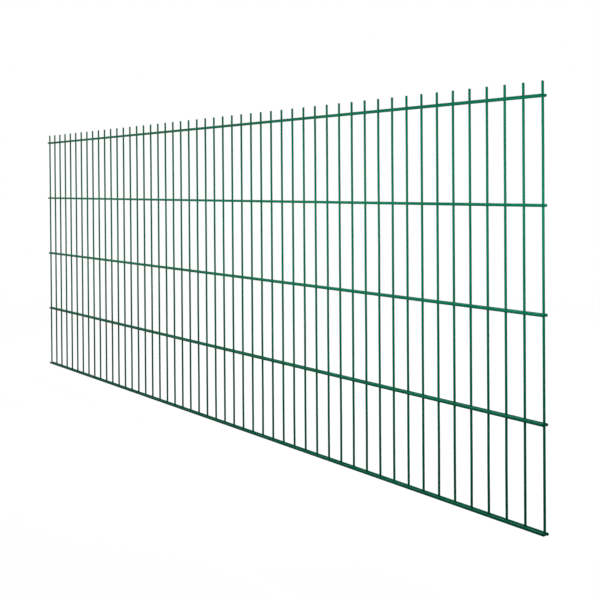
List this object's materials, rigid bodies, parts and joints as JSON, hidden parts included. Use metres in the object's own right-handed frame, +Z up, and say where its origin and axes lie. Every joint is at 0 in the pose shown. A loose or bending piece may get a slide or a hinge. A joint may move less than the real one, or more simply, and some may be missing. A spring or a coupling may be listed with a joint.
{
  "type": "welded mesh fence panel",
  "caption": "Double-rod welded wire fence panel in green powder coat, with a spiked top edge, clamped by its ends to flat-faced posts.",
  "frame": {"origin": "on the rear flat of the bottom rear rod, at the centre line of the left end upright, where the panel lies against its post", "axes": "+X along the panel from its left end to its right, +Y out of its back towards the posts, +Z up along the uprights"},
  "size_m": [2.506, 0.016, 0.83],
  "materials": {
    "green_coat": "moss-green polyester powder coat over galvanised steel wire, satin"
  },
  "bodies": {
    "root": {"front_rod_1": "green_coat", "front_rod_2": "green_coat", "front_rod_3": "green_coat", "front_rod_4": "green_coat", "front_rod_5": "green_coat", "rear_rod_1": "green_coat", "rear_rod_2": "green_coat", "rear_rod_3": "green_coat", "rear_rod_4": "green_coat", "rear_rod_5": "green_coat", "uprights_01_to_03": "green_coat", "uprights_04_to_06": "green_coat", "uprights_07_to_09": "green_coat", "uprights_10_to_12": "green_coat", "uprights_13_to_15": "green_coat", "uprights_16_to_18": "green_coat", "uprights_19_to_21": "green_coat", "uprights_22_to_24": "green_coat", "uprights_25_to_27": "green_coat", "uprights_28_to_30": "green_coat", "uprights_31_to_33": "green_coat", "uprights_34_to_36": "green_coat", "uprights_37_to_39": "green_coat", "uprights_40_to_42": "green_coat", "uprights_43_to_45": "green_coat", "uprights_46_to_48": "green_coat", "uprights_49_to_51": "green_coat"}
  },
  "joints": []
}
